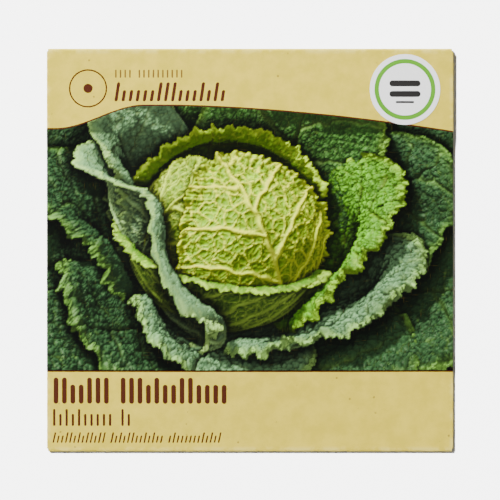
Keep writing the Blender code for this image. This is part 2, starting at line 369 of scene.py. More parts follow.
def leaf_samples(number, is_head, leaf):
    """Points, normals and colours all over one leaf of the plant."""
    azimuth, level, length, half_width, radius, angle, roundness, cell, tone = leaf
    samples = HEAD_SAMPLES if is_head else WRAPPER_SAMPLES
    across, along = np.meshgrid(np.linspace(-1.0, 1.0, samples), np.linspace(0.0, 1.0, samples))
    flat_x, flat_y = flat_blade(across, along, length, half_width, roundness)
    x, y, height, inset = roll_rim(flat_x, flat_y, across, along, half_width, radius, angle)
    salt = number * 3.0 + 1.0
    ripple, vein, crest = relief(flat_x, flat_y, inset, length, half_width, cell, salt, is_head)
    if is_head:
        points = on_globe(x, y, height + ripple, azimuth, HEAD_RADIUS + level)
    else:
        points = in_rosette(x, y, height + ripple, azimuth, level)
    normal = np.cross(np.gradient(points, axis=1), np.gradient(points, axis=0))
    normal /= np.maximum(np.linalg.norm(normal, axis=-1, keepdims=True), 1e-12)
    hollow, top, vein_colour = (np.array(part) for part in TONES[tone])
    blade = hollow + (top - hollow) * np.clip(crest, 0.0, 1.0)[..., None]
    blade = blade * (1.0 + 0.22 * waves(flat_x, flat_y, 0.05, number + 0.3))[..., None]
    colour = blade + (vein_colour - blade) * (vein * (0.95 if is_head else 0.55))[..., None]
    pale_rim = 0.45 * np.exp(-inset / PALE_RIM_WIDTH)[..., None]
    colour = colour + (vein_colour * [1.0, 1.05, 0.6] - colour) * pale_rim
    return points.reshape(-1, 3), normal.reshape(-1, 3), colour.reshape(-1, 3)


def box_blur(image, radius):
    """Averages the pixels within a square, first along one side of the image and then along the other."""
    size = 2 * radius + 1
    for _ in range(2):
        total = np.cumsum(np.pad(image, ((radius + 1, radius), (0, 0)), mode="edge"), axis=0)
        image = ((total[size:] - total[:-size]) / size).T
    return image


def paint_plant(columns, rows):
    """The picture's linear colours, rows from the bottom up."""
    tilt = math.radians(PICTURE_TILT)
    right = np.array([1.0, 0.0, 0.0])
    up = np.array([0.0, math.sin(tilt), math.cos(tilt)])
    away = np.array([0.0, math.cos(tilt), -math.sin(tilt)])
    light = PICTURE_LIGHT / np.linalg.norm(PICTURE_LIGHT)
    half = (light - away) / np.linalg.norm(light - away)
    pixel = PLANT_WIDTH / columns
    count = columns * rows
    depth = np.full(count, FAR)
    # Colour, share of the light, and gloss of what each pixel shows.
    shown = np.tile(np.array([*GROUND, 0.0, 0.0]), (count, 1))

    def project(job):
        number, (is_head, leaf) = job
        points, normal, colour = leaf_samples(number, is_head, leaf)
        normal = np.where((normal @ away > 0.0)[:, None], -normal, normal)
        lit = np.clip(normal @ light, 0.0, 1.0)
        gloss = np.clip(normal @ half, 0.0, 1.0) ** GLOSS_SHARPNESS
        seen = points - PICTURE_TARGET
        gap = seen @ away
        scale = PICTURE_DISTANCE / (PICTURE_DISTANCE + gap)
        column = np.floor(seen @ right * scale / pixel + columns / 2.0).astype(int)
        row = np.floor(seen @ up * scale / pixel + rows / 2.0).astype(int)
        inside = (column >= 0) & (column < columns - 1) & (row >= 0) & (row < rows - 1)
        order = np.argsort(-gap[inside], kind="stable")
        place = (row * columns + column)[inside][order]
        look = np.column_stack([colour, lit, gloss])[inside][order]
        return place, gap[inside][order], look

    jobs = [(True, leaf) for leaf in HEAD_LEAVES] + [(False, leaf) for leaf in WRAPPER_LEAVES]
    with ThreadPoolExecutor(4) as pool:
        painted = list(pool.map(project, enumerate(jobs)))
    for place, gap, look in painted:
        for beside in (0, 1, columns, columns + 1):
            nearest = np.full(count, np.inf)
            nearest[place + beside] = gap + (SPLAT_SETBACK if beside else 0.0)
            chosen = np.zeros(count, dtype=int)
            chosen[place + beside] = np.arange(len(place))
            wins = nearest < depth
            depth[wins] = nearest[wins]
            shown[wins] = look[chosen[wins]]

    depth = depth.reshape(rows, columns)
    shown = shown.reshape(rows, columns, 5)
    shade = np.ones((rows, columns))
    for radius, strength in HOLLOWS:
        under = (depth - box_blur(depth, radius)) / (radius * pixel * HOLLOW_SLOPE)
        shade *= 1.0 - strength * np.clip(under, 0.0, 1.0)
    shadow = cast_shadow(depth, light @ right, light @ up, light @ away, pixel)
    lit = (SKYLIGHT + SUNLIGHT * shown[..., 3] * (1.0 - SHADOW_DEPTH * shadow)) * shade
    gloss = GLOSS * shown[..., 4] * (1.0 - shadow) * shade
    return drop_specks(shown[..., :3] * lit[..., None] + gloss[..., None] * GLOSS_COLOUR)


def drop_specks(image):
    """Takes out bright dots: at most 5 of the 24 pixels round one have 0.6 of its brightness."""
    level = image.sum(axis=-1)
    moves = [(j, i) for j in range(-2, 3) for i in range(-2, 3) if (j, i) != (0, 0)]
    alone = sum((np.roll(level, move, (0, 1)) > 0.6 * level).astype(int) for move in moves) <= 5
    rows, columns = np.nonzero(alone)
    near = [image[(rows + j) % image.shape[0], (columns + i) % image.shape[1]] for j, i in moves]
    image[rows, columns] = np.median(near, axis=0)
    return image


def cast_shadow(depth, light_right, light_up, light_away, pixel):
    """Walks from each pixel towards the light, and shades it where something stands in the way."""
    slope = math.hypot(light_right, light_up)
    shadow = np.zeros_like(depth)
    for step in range(1, SHADOW_STEPS):
        travel = step * SHADOW_STRIDE
        columns, rows = round(travel * light_right / slope), round(travel * light_up / slope)
        ray = depth + travel * pixel / slope * light_away
        lower = ray - np.roll(depth, (-rows, -columns), (0, 1))
        shadow = np.maximum(shadow, smoothstep(*SHADOW_EDGE, lower) * (lower < SHADOW_REACH))
    return box_blur(shadow, 2)


def sample(image, column, row):
    """Reads an image between its pixels."""
    rows, columns = image.shape[:2]
    column = np.clip(column, 0.0, columns - 1.001)
    row = np.clip(row, 0.0, rows - 1.001)
    i, j = column.astype(int), row.astype(int)
    a, b = (column - i)[..., None], (row - j)[..., None]
    low = image[j, i] * (1.0 - a) + image[j, i + 1] * a
    high = image[j + 1, i] * (1.0 - a) + image[j + 1, i + 1] * a
    return low * (1.0 - b) + high * b


# ==== folding the sheet


def step_up(y):
    """How far the plies climb onto the closing flap."""
    return PLY_PITCH * smoothstep(STEP_TOP - STEP_LENGTH, STEP_TOP, y)


def front_height(x, y):
    """Height of the front's middle surface."""
    across = np.clip(1.0 - (x / SIDE_FOLD) ** 2, 0.0, None)
    along = np.clip(1.0 - (y / TOP_FOLD) ** 2, 0.0, None)
    from_edge = np.minimum(SIDE_FOLD - np.abs(x), TOP_FOLD - np.abs(y))
    ripple = WAVE_HEIGHT * waves(x, y, WAVE_LENGTH, 1.3) * smoothstep(0.0, WAVE_FADE, from_edge)
    return FRONT_LEVEL + step_up(y) + SWELL * (across * along) ** PILLOW_POWER + ripple


def fold(past, radius):
    """A point past a fold line: how far it gets beyond the line, and how far it drops."""
    turned = np.clip(past / radius, 0.0, math.pi)
    beyond = np.clip(past - math.pi * radius, 0.0, None)
    return radius * np.sin(turned) - beyond, radius * (1.0 - np.cos(turned))


def folded(p, q):
    """The place of a point of the flat net: p runs across the sheet and q along it."""
    past_side, past_top, past_bottom = np.abs(p) - SIDE_FOLD, q - TOP_FOLD, -q - BOTTOM_FOLD
    side_out, side_drop = fold(past_side, SIDE_RADIUS)
    side_share = np.clip(np.abs(p) - SIDE_START, 0.0, None) / SIDE_FLAP_WIDTH
    side_y = np.sign(q) * np.minimum(np.abs(q), SIDE_END - SIDE_FLAP_TAPER * side_share)
    side = np.stack(
        [np.sign(p) * (SIDE_FOLD + side_out), side_y, FRONT_LEVEL + step_up(side_y) - side_drop], axis=-1
    )
    top_out, top_drop = fold(past_top, TOP_RADIUS)
    top_share = np.clip(q - CLOSING_START, 0.0, None) / CLOSING_FLAP_LENGTH
    top_x = p * (1.0 - CLOSING_FLAP_TAPER / BACK_HALF * top_share)
    top = np.stack([top_x, TOP_FOLD + top_out, FRONT_LEVEL + PLY_PITCH - top_drop], axis=-1)
    bottom_out, bottom_drop = fold(past_bottom, BOTTOM_RADIUS)
    bottom_y = -(BOTTOM_FOLD + bottom_out)
    bottom = np.stack([p, bottom_y, FRONT_LEVEL + step_up(bottom_y) - bottom_drop], axis=-1)
    front = np.stack([p, q, front_height(p, q)], axis=-1)
    out = np.where((past_top > 0.0)[..., None], top, front)
    out = np.where((past_bottom > 0.0)[..., None], bottom, out)
    return np.where((past_side > 0.0)[..., None], side, out)


def outward(p, q):
    """The direction out of the printed side of the sheet, at a point of the net."""
    small = 1e-5
    along_p = folded(p + small, q) - folded(p - small, q)
    along_q = folded(p, q + small) - folded(p, q - small)
    normal = np.cross(along_p, along_q)
    return normal / np.maximum(np.linalg.norm(normal, axis=-1, keepdims=True), 1e-15)


def lines_through(*marks, cell=SHEET_CELL):
    """Grid lines through every mark, no further apart than a cell."""
    lines = [marks[0]]
    for low, high in zip(marks, marks[1:]):
        count = max(1, math.ceil((high - low) / cell - 1e-6))
        lines += [low + (high - low) * (i + 1) / count for i in range(count)]
    return np.array(lines)


def fold_marks(start, radius):
    return [start + math.pi * radius * i / FOLD_STEPS for i in range(FOLD_STEPS + 1)]


def put_in_scene(data):
    """An object of the same name, for a mesh, a lamp or a camera."""
    obj = bpy.data.objects.new(data.name, data)
    bpy.context.scene.collection.objects.link(obj)
    return obj


def smooth_piece(mesh, material):
    mesh.shade_smooth()
    mesh.materials.append(material)
    return put_in_scene(mesh)


def mesh_piece(name, verts, faces, material):
    mesh = bpy.data.meshes.new(name)
    mesh.from_pydata([tuple(v) for v in verts], [], faces)
    mesh.validate()
    return smooth_piece(mesh, material)


def corner_verts(mesh):
    """The number of the vertex at each corner of the mesh's faces."""
    found = np.zeros(len(mesh.loops), dtype=np.int32)
    mesh.loops.foreach_get("vertex_index", found)
    return found


def set_uv(mesh, name, values):
    """values holds one (u, v) for each corner of the mesh's faces."""
    layer = mesh.uv_layers.new(name=name)
    layer.data.foreach_set("uv", np.asarray(values, dtype=np.float32).ravel())


# Where each part of the sheet goes in the export's texture: lowest corner and size, in shares of it.
BAKE_FRONT = (0.002, 0.002, 0.740, 0.740)
BAKE_BACK = (0.752, 0.002, 0.246, 0.740)
BAKE_CLOSING = (0.002, 0.752, 0.370, 0.100)
BAKE_LEFT = (0.382, 0.752, 0.360, 0.045)
BAKE_RIGHT = (0.382, 0.807, 0.360, 0.045)
BAKE_RIM = (0.002, 0.865, 0.740, 0.010)
BAKE_INSIDE = (0.752, 0.752, 0.246, 0.220)
BAKE_PICTURE = (0.001, 0.001, 0.998, 0.930)
BAKE_PICTURE_UNDER = (0.001, 0.945, 0.998, 0.050)

# The inside takes its paper from a place in the net where nothing is printed.
INSIDE_SHIFT = 0.5
SHARP_EDGE = math.radians(50.0)


def in_bake(place, u, v):
    left, base, wide, high = place
    return [left + wide * u, base + high * v]


def bake_corner(p, q, middle_p, middle_q):
    """The place in the export's texture of a corner of an outside face. middle is the face's own."""
    across = 0.5 + p / (2.0 * SIDE_START)
    along = (q + BACK_START) / (BACK_START + CLOSING_START)
    if abs(middle_p) > SIDE_START:
        inwards = (abs(p) - SIDE_START) / SIDE_FLAP_WIDTH
        return in_bake(BAKE_LEFT if middle_p < 0.0 else BAKE_RIGHT, along, inwards)
    if middle_q > CLOSING_START:
        return in_bake(BAKE_CLOSING, across, (q - CLOSING_START) / CLOSING_FLAP_LENGTH)
    if middle_q < -BACK_START:
        return in_bake(BAKE_BACK, across, (q + BACK_END) / (BACK_END - BACK_START))
    return in_bake(BAKE_FRONT, across, along)


def sheet_lines():
    """Grid lines of the net, through every fold and cut."""
    tapered = SIDE_END - 2.0 * SIDE_FLAP_TAPER
    half = lines_through(0.0, BACK_HALF, *fold_marks(SIDE_FOLD, SIDE_RADIUS), SIDE_START + SIDE_FLAP_WIDTH)
    inside = (0.0, STEP_TOP - STEP_LENGTH, STEP_TOP, tapered, SIDE_END)
    up = lines_through(*inside, *fold_marks(TOP_FOLD, TOP_RADIUS), CLOSING_END)
    down = lines_through(0.0, tapered, SIDE_END, *fold_marks(BOTTOM_FOLD, BOTTOM_RADIUS), BACK_END)
    return mirrored(half), np.concatenate([-down[:0:-1], up])


def make_sheet(material):
    """The whole sheet as a closed body.

    Its UV map Net is the flat net in metres, and OFBake is the layout of the export's texture.
    """
    columns, rows = sheet_lines()
    q, p = np.meshgrid(rows, columns, indexing="ij")
    middle_p = (columns[:-1] + columns[1:]) / 2.0
    middle_q = (rows[:-1] + rows[1:]) / 2.0
    beside = np.abs(middle_p[None, :]) > SIDE_FOLD
    between = (middle_q < TOP_FOLD) & (middle_q > -BOTTOM_FOLD)
    on_back = between[:, None] | (np.abs(middle_p[None, :]) < BACK_HALF)
    keep = np.where(beside, np.abs(middle_q[:, None]) < SIDE_END, on_back)

    middle, normal = folded(p, q), outward(p, q)
    outer = (middle + normal * PAPER_THICKNESS / 2.0).reshape(-1, 3)
    inner = (middle - normal * PAPER_THICKNESS / 2.0).reshape(-1, 3)
    count, wide = outer.shape[0], len(columns)
    flat = np.column_stack([p.ravel(), q.ravel()])
    spread = [2.0 * (SIDE_START + SIDE_FLAP_WIDTH), CLOSING_END + BACK_END]
    faces, net, bake, rims = [], [], [], []
    for j, i in zip(*np.nonzero(keep)):
        a = int(j) * wide + int(i)
        corners = [a, a + 1, a + 1 + wide, a + wide]
        faces.append(corners)
        net += [flat[c] for c in corners]
        bake += [bake_corner(*flat[c], middle_p[i], middle_q[j]) for c in corners]
        faces.append([count + c for c in reversed(corners)])
        net += [flat[c] + [INSIDE_SHIFT, 0.0] for c in reversed(corners)]
        shares = [(flat[c] + [spread[0] / 2.0, BACK_END]) / spread for c in reversed(corners)]
        bake += [in_bake(BAKE_INSIDE, *share) for share in shares]
        ends = zip(corners, corners[1:] + corners[:1])
        for (dj, di), (start, end) in zip(((-1, 0), (0, 1), (1, 0), (0, -1)), ends):
            nj, ni = j + dj, i + di
            if not (0 <= nj < keep.shape[0] and 0 <= ni < keep.shape[1] and keep[nj, ni]):
                rims.append((start, end))
    for number, (start, end) in enumerate(rims):
        faces.append([end, start, count + start, count + end])
        net += [flat[c] + [INSIDE_SHIFT, 0.0] for c in (end, start, start, end)]
        left, right = number / len(rims), (number + 0.9) / len(rims)
        bake += [in_bake(BAKE_RIM, u, v) for u, v in ((right, 0.0), (left, 0.0), (left, 1.0), (right, 1.0))]
    obj = mesh_piece("folded_sheet", np.concatenate([outer, inner]), faces, material)
    set_uv(obj.data, "OFBake", bake)
    set_uv(obj.data, "Net", net)
    tidy = bmesh.new()
    tidy.from_mesh(obj.data)
    bmesh.ops.delete(tidy, geom=[v for v in tidy.verts if not v.link_faces], context="VERTS")
    tidy.to_mesh(obj.data)
    tidy.free()
    obj.data.set_sharp_from_angle(angle=SHARP_EDGE)
    return obj


def picture_top(x):
    rise = EDGE_RISE * smoothstep(RISE_FROM, RISE_TO, x)
    fall = EDGE_FALL * (np.clip(x - FALL_FROM, 0.0, None) / FALL_LENGTH) ** FALL_POWER
    return EDGE_LEVEL + rise - fall


def make_picture(material):
    """The printed picture as a thin layer of ink on the front, fine enough to carry its colours."""
    wrapped = fold_marks(SIDE_FOLD, SIDE_RADIUS)[: INK_FOLD_STEPS + 1]
    half = lines_through(0.0, *wrapped, cell=PICTURE_CELL)
    p_line = mirrored(half)
    reach = half[-1]
    share = lines_through(0.0, 1.0, cell=PICTURE_CELL / (EDGE_LEVEL + EDGE_RISE - PICTURE_BOTTOM))
    across, along = len(p_line), len(share)
    p, v = np.meshgrid(p_line, share)
    q = PICTURE_BOTTOM + v * (picture_top(p) - PICTURE_BOTTOM)
    middle, normal = folded(p, q), outward(p, q)
    above = PAPER_THICKNESS / 2.0 + INK_OFFSET
    top = (middle + normal * (above + INK_THICKNESS)).reshape(-1, 3)
    under = (middle + normal * above).reshape(-1, 3)

    grid = np.arange(along * across).reshape(along, across)
    corners = np.stack([grid[:-1, :-1], grid[:-1, 1:], grid[1:, 1:], grid[1:, :-1]], axis=-1).reshape(-1, 4)
    faces = corners.tolist()
    stops_i = sorted({*range(0, across - 1, UNDERSIDE_STRIDE), across - 1})
    stops_j = sorted({*range(0, along - 1, UNDERSIDE_STRIDE), along - 1})
    verts, lower = [top], {}
    for j in stops_j[1:-1]:
        for i in stops_i[1:-1]:
            lower[j, i] = along * across + len(lower)
            verts.append(under[grid[j, i]][None])

    def at(j, i):
        return lower.get((j, i), int(grid[j, i]))

    for j0, j1 in zip(stops_j, stops_j[1:]):
        for i0, i1 in zip(stops_i, stops_i[1:]):
            left = range(j0, j1) if i0 == 0 else [j0]
            far = range(i0, i1) if j1 == along - 1 else [i0]
            right = range(j1, j0, -1) if i1 == across - 1 else [j1]
            near = range(i1, i0, -1) if j0 == 0 else [i1]
            faces.append(
                [at(j, i0) for j in left] + [at(j1, i) for i in far]
                + [at(j, i1) for j in right] + [at(j0, i) for i in near]
            )
    verts = np.concatenate(verts)
    obj = mesh_piece("picture_print", verts, faces, material)

    fine_columns = 2 * across
    fine_rows = math.ceil(fine_columns * (PAINTED_TOP - PICTURE_BOTTOM) / (2.0 * reach))
    image = np.clip(paint_plant(fine_columns, fine_rows), 0.0, 1.0)
    scale = fine_columns / (2.0 * reach)
    colour = sample(image, (p + reach) * scale - 0.5, (q - PICTURE_BOTTOM) * scale - 0.5).reshape(-1, 3)
    full = np.tile(np.array([*PAPER_PALE, 1.0], dtype=np.float32), (len(verts), 1))
    full[: len(colour), :3] = colour
    ink = obj.data.color_attributes.new("Ink", "FLOAT_COLOR", "POINT")
    ink.data.foreach_set("color", full.ravel())

    flat = np.zeros((len(verts), 2))
    flat[:, 0] = (np.concatenate([p.ravel(), verts[along * across:, 0]]) + reach) / (2.0 * reach)
    flat[:, 1] = np.concatenate([v.ravel(), [j / (along - 1) for j, _ in lower]])
    uv = flat[corner_verts(obj.data)]
    is_top = np.arange(len(uv)) < corners.size
    place = np.where(is_top[:, None], np.array(BAKE_PICTURE), np.array(BAKE_PICTURE_UNDER))
    set_uv(obj.data, "OFBake", place[:, :2] + place[:, 2:] * uv)
    return obj


def make_sticker(material):
    """A round sticker: a thin disc that follows the front and lifts a little on one side."""
    low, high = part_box("badge_sticker")
    centre = ((low[0] + high[0]) / 2.0, (low[1] + high[1]) / 2.0)
    radius = (high[0] - low[0]) / 2.0
    thickness, rest, lift = 0.0001, 0.00004, 0.00022
    rings, sides = 24, 96
    share = np.linspace(0.0, 1.0, rings + 1)[1:]
    turn = np.arange(sides) * 2.0 * math.pi / sides
    x = centre[0] + radius * np.concatenate([[0.0], np.outer(share, np.cos(turn)).ravel()])
    y = centre[1] + radius * np.concatenate([[0.0], np.outer(share, np.sin(turn)).ravel()])
    raised = lift * smoothstep(0.55, 1.0, (-(x - centre[0]) - 0.5 * (y - centre[1])) / (1.12 * radius))
    base = front_height(x, y) + PAPER_THICKNESS / 2.0 + rest + raised
    count = len(x)
    upper = np.stack([x, y, base + thickness], axis=-1)
    lower = np.stack([x, y, base], axis=-1)
    faces = []
    for ring in range(rings):
        for side in range(sides):
            beyond = (side + 1) % sides
            a, b = 1 + ring * sides + side, 1 + ring * sides + beyond
            if ring == 0:
                faces += [[0, a, b], [count, count + b, count + a]]
            else:
                c, d = a - sides, b - sides
                faces += [[c, a, b, d], [count + d, count + b, count + a, count + c]]
            if ring == rings - 1:
                faces.append([a, count + a, count + b, b])
    obj = mesh_piece("round_sticker", np.concatenate([upper, lower]), faces, material)
    obj.data.set_sharp_from_angle(angle=SHARP_EDGE)
    flat = np.column_stack([np.concatenate([x, x]) - centre[0], np.concatenate([y, y]) - centre[1]])
    set_uv(obj.data, "Disc", flat[corner_verts(obj.data)] / radius)
    return obj


def make_seed(node, number, material):
    """A cabbage seed: nearly round, a little dented, with its scar on one side."""
    low, high = (np.array(corner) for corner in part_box(node))
    centre, size = (low + high) / 2.0, (high - low).min() / 2.0
    ball = bmesh.new()
    bmesh.ops.create_icosphere(ball, subdivisions=4, radius=1.0)
    points = np.array([v.co for v in ball.verts])
    turn = 2.4 * number
    scar = np.array([math.cos(turn), math.sin(turn), 0.3])
    scar /= np.linalg.norm(scar)
    bulge = 1.0 - 0.035 * (1.0 + waves(points[:, 0] + number, points[:, 1] - points[:, 2], 1.3, 0.7)) / 2.0
    dent = 0.09 * bell(1.0 - points @ scar, 0.05)
    ridge = 0.02 * bell(points @ np.cross(scar, [0.0, 0.0, 1.0]), 0.08) * (points @ scar > 0.2)
    points = points * (bulge - dent - ridge)[:, None]
    for vert, point in zip(ball.verts, centre + points * size):
        vert.co = point
    mesh = bpy.data.meshes.new(f"{node}_coat")
    ball.to_mesh(mesh)
    ball.free()
    return smooth_piece(mesh, material)


# ==== materials


class Shader:
    """A Principled material, with short calls for the nodes that feed it."""

    def __init__(self, name, roughness, specular=0.35):
        self.material = bpy.data.materials.new(name)
        self.material.use_nodes = True
        self.tree = self.material.node_tree
        self.main = self.tree.nodes["Principled BSDF"]
        self.main.inputs["Roughness"].default_value = roughness
        self.main.inputs["Specular IOR Level"].default_value = specular

    def node(self, kind, *inputs, **settings):
        made = self.tree.nodes.new("ShaderNode" + kind)
        for key, value in settings.items():
            setattr(made, key, value)
        for socket, value in zip(made.inputs, inputs):
            self.put(socket, value)
        return made

    def put(self, socket, value):
        if value is None:
            return
        if isinstance(value, bpy.types.NodeSocket):
            self.tree.links.new(value, socket)
        else:
            socket.default_value = value

    def calc(self, operation, a, b=None, c=None, clamp=False):
        return self.node("Math", a, b, c, operation=operation, use_clamp=clamp).outputs[0]

    def times(self, a, b, clamp=False):
        return self.calc("MULTIPLY", a, b, clamp=clamp)

    def off(self, value, middle):
        """How far a value is from a middle, on either side."""
        return self.calc("ABSOLUTE", self.calc("SUBTRACT", value, middle))

    def distance(self, a, b):
        """How far the point a, b is from 0, 0."""
        return self.calc("SQRT", self.calc("ADD", self.times(a, a), self.times(b, b)))

    def band(self, value, middle, half_width, soft=EDGE_SOFTNESS):
        """1 near a middle and 0 further off than half a width, with a soft edge."""
        return self.step(self.off(value, middle), half_width + soft, half_width - soft)

    def step(self, value, low, high):
        """0 below low, 1 above high, smooth between. low may be the larger."""
        made = self.node("MapRange", value, low, high, 0.0, 1.0)
        made.interpolation_type = "SMOOTHSTEP"
        return made.outputs[0]

    def mix(self, share, a, b, blend="MIX"):
        made = self.node("Mix", data_type="RGBA", blend_type=blend)
        for key, value in (("Factor_Float", share), ("A_Color", a), ("B_Color", b)):
            socket = next(s for s in made.inputs if s.identifier == key)
            self.put(socket, (*value, 1.0) if isinstance(value, tuple) else value)
        return next(s for s in made.outputs if s.identifier == "Result_Color")

    def mottled(self, colour, tooth, swing):
        """A colour made a little darker and lighter by the tooth of the paper."""
        grey = self.calc("MULTIPLY_ADD", tooth, swing, 1.0 - swing / 2.0)
        shade = self.node("CombineColor", grey, grey, grey).outputs[0]
        return self.mix(1.0, colour, shade, blend="MULTIPLY")

    def noise(self, where, scale, detail=3.0, roughness=0.55):
        made = self.node("TexNoise")
        inputs = {"Vector": where, "Scale": scale, "Detail": detail, "Roughness": roughness}
        for key, value in inputs.items():
            self.put(made.inputs[key], value)
        return made.outputs["Fac"]

    def cells(self, where, scale, feature):
        """A distance in a net of irregular cells."""
        made = self.node("TexVoronoi", feature=feature)
        self.put(made.inputs["Vector"], where)
        made.inputs["Scale"].default_value = scale
        return made.outputs["Distance"]

    def scaled(self, where, scale, turn):
        made = self.node("Mapping")
        self.put(made.inputs["Vector"], where)
        made.inputs["Scale"].default_value = scale
        made.inputs["Rotation"].default_value = (0.0, 0.0, turn)
        return made.outputs[0]

    def uv(self, name):
        return self.node("UVMap", uv_map=name).outputs[0]

    def here(self):
        return self.node("TexCoord").outputs["Object"]

    def parts(self, vector):
        return self.node("SeparateXYZ", vector).outputs[:2]

    def bump(self, height, distance):
        made = self.node("Bump")
        made.inputs["Strength"].default_value = 1.0
        made.inputs["Distance"].default_value = distance
        self.put(made.inputs["Height"], height)
        self.put(self.main.inputs["Normal"], made.outputs[0])

    def colour(self, value):
        self.put(self.main.inputs["Base Color"], value)

    def rough(self, value):
        self.put(self.main.inputs["Roughness"], value)


# Linear colours. The paper is yellower than real kraft, to look right through the view transform.
PAPER_PALE = (0.75, 0.585, 0.058)
PAPER_GREEN = (0.635, 0.5, 0.04)
WORN_PAPER = (0.82, 0.69, 0.18)
WORN_WIDTH = 0.0011
FLECK = (0.22, 0.145, 0.025)
INK_BROWN = (0.062, 0.012, 0.006)
INK_TAN = (0.17, 0.095, 0.022)


def paper_grain(shader, where):
    """Fibre clouds, long fibres, flecks and a fine tooth, as four shares from 0 to 1."""
    clouds = shader.noise(where, 190.0, detail=4.0, roughness=0.6)
    along = shader.noise(shader.scaled(where, (260.0, 3600.0, 1.0), 0.5), 1.0, detail=1.0)
    across = shader.noise(shader.scaled(where, (3300.0, 300.0, 1.0), 0.2), 1.0, detail=1.0)
    fibres = shader.step(shader.calc("MAXIMUM", along, across), 0.66, 0.8)
    spots = shader.cells(where, 330.0, "F1")
    rare = shader.step(shader.noise(where, 420.0, detail=0.0), 0.6, 0.66)
    flecks = shader.times(shader.step(spots, 0.16, 0.06), rare)
    tooth = shader.noise(where, 5200.0, detail=2.0)
    return clouds, fibres, flecks, tooth


def type_line(shader, x, y, line):
    """A mask of round-ended strokes in a row, some tall and some low: plain marks, not letters."""
    left, base, low, full, pitch, stroke, slant, count, left_out = line
    up = shader.calc("SUBTRACT", y, base)
    upright = shader.calc("MULTIPLY_ADD", up, -slant, x)
    along = shader.calc("DIVIDE", shader.calc("SUBTRACT", upright, left), pitch)
    number = shader.calc("FLOOR", along)
    chance = shader.node("TexWhiteNoise", noise_dimensions="1D")
    shader.put(chance.inputs["W"], shader.calc("MULTIPLY_ADD", number, 3.7, base * 1000.0 + 0.5))
    tall = shader.calc("GREATER_THAN", chance.outputs["Value"], SHARE_OF_LOW_STROKES)
    middle = shader.calc("MULTIPLY_ADD", tall, (full - low) / 2.0, low / 2.0)
    aside = shader.times(shader.calc("SUBTRACT", shader.calc("FRACT", along), 0.5), pitch)
    beyond = shader.calc("SUBTRACT", shader.off(up, middle), middle)
    beyond = shader.calc("MAXIMUM", shader.calc("ADD", beyond, stroke / 2.0), 0.0)
    mask = shader.band(shader.distance(aside, beyond), 0.0, stroke / 2.0)
    mask = shader.times(mask, shader.calc("GREATER_THAN", number, -0.5))
    mask = shader.times(mask, shader.calc("LESS_THAN", number, count - 0.5))
    for skipped in left_out:
        mask = shader.times(mask, shader.calc("GREATER_THAN", shader.off(number, skipped), 0.5))
    return mask


def strongest(shader, masks):
    ink = masks[0]
    for mask in masks[1:]:
        ink = shader.calc("MAXIMUM", ink, mask)
    return ink


def worn_folds(shader, x, y):
    """Paler paper along the folds, where it has rubbed."""
    off_side = shader.off(shader.calc("ABSOLUTE", x), SIDE_FOLD)
    off_end = shader.calc("MINIMUM", shader.off(y, TOP_FOLD), shader.off(y, -BOTTOM_FOLD))
    return shader.step(shader.calc("MINIMUM", off_side, off_end), WORN_WIDTH, 0.0)


def sheet_material():
    """Straw-coloured paper with brown print: marks, an icon and lines above and below the picture."""
    shader = Shader("printed_kraft_paper", 0.82, 0.06)
    net = shader.uv("Net")
    x, y = shader.parts(net)
    clouds, fibres, flecks, tooth = paper_grain(shader, net)
    base = shader.mix(shader.step(clouds, 0.3, 0.7), PAPER_GREEN, PAPER_PALE)
    base = shader.mix(shader.times(fibres, 0.42), base, PAPER_PALE)
    base = shader.mix(shader.times(flecks, 0.75), base, FLECK)
    base = shader.mottled(base, tooth, 0.22)
    worn = shader.times(worn_folds(shader, x, y), shader.step(clouds, 0.42, 0.6))
    base = shader.mix(shader.times(worn, 0.55), base, WORN_PAPER)
    patchy = shader.calc("MULTIPLY_ADD", tooth, 0.2, 0.9)
    light = strongest(shader, [type_line(shader, x, y, line) for line in LIGHT_TYPE])
    base = shader.mix(shader.times(light, patchy, clamp=True), base, INK_TAN)
    masks = [type_line(shader, x, y, line) for line in DARK_TYPE]
    ink = strongest(shader, masks + [icon(shader, x, y), lower_line(shader, y), upper_line(shader, x, y)])
    shader.colour(shader.mix(shader.times(ink, patchy, clamp=True), base, INK_BROWN))
    shader.bump(shader.calc("ADD", shader.times(fibres, 0.8), tooth), 0.000025)
    paper_rough = shader.calc("MULTIPLY_ADD", tooth, 0.1, 0.77)
    shader.rough(shader.calc("MULTIPLY_ADD", ink, -0.12, paper_rough))
    return shader.material


def icon(shader, x, y):
    """A plain ring with a dot."""
    dx = shader.calc("SUBTRACT", x, ICON_CENTRE[0])
    dy = shader.calc("SUBTRACT", y, ICON_CENTRE[1])
    away = shader.distance(dx, dy)
    ring = shader.band(away, ICON_RADIUS, ICON_LINE / 2.0)
    dot = shader.step(away, ICON_RADIUS * 0.26, ICON_RADIUS * 0.24)
    return shader.calc("MAXIMUM", ring, dot)


def lower_line(shader, y):
    return shader.band(y, PICTURE_BOTTOM - LINE_WIDTH * 0.4, LINE_WIDTH / 2.0)


def upper_line(shader, x, y):
    """Follows the picture's upper edge, as picture_top does."""
    rise = shader.times(shader.step(x, RISE_FROM, RISE_TO), EDGE_RISE)
    past = shader.calc("MAXIMUM", shader.calc("SUBTRACT", x, FALL_FROM), 0.0)
    fall = shader.calc("POWER", shader.calc("DIVIDE", past, FALL_LENGTH), FALL_POWER)
    level = shader.calc("ADD", rise, EDGE_LEVEL + LINE_WIDTH * 0.4)
    edge = shader.calc("SUBTRACT", level, shader.times(fall, EDGE_FALL))
    return shader.band(y, edge, LINE_WIDTH / 2.0)


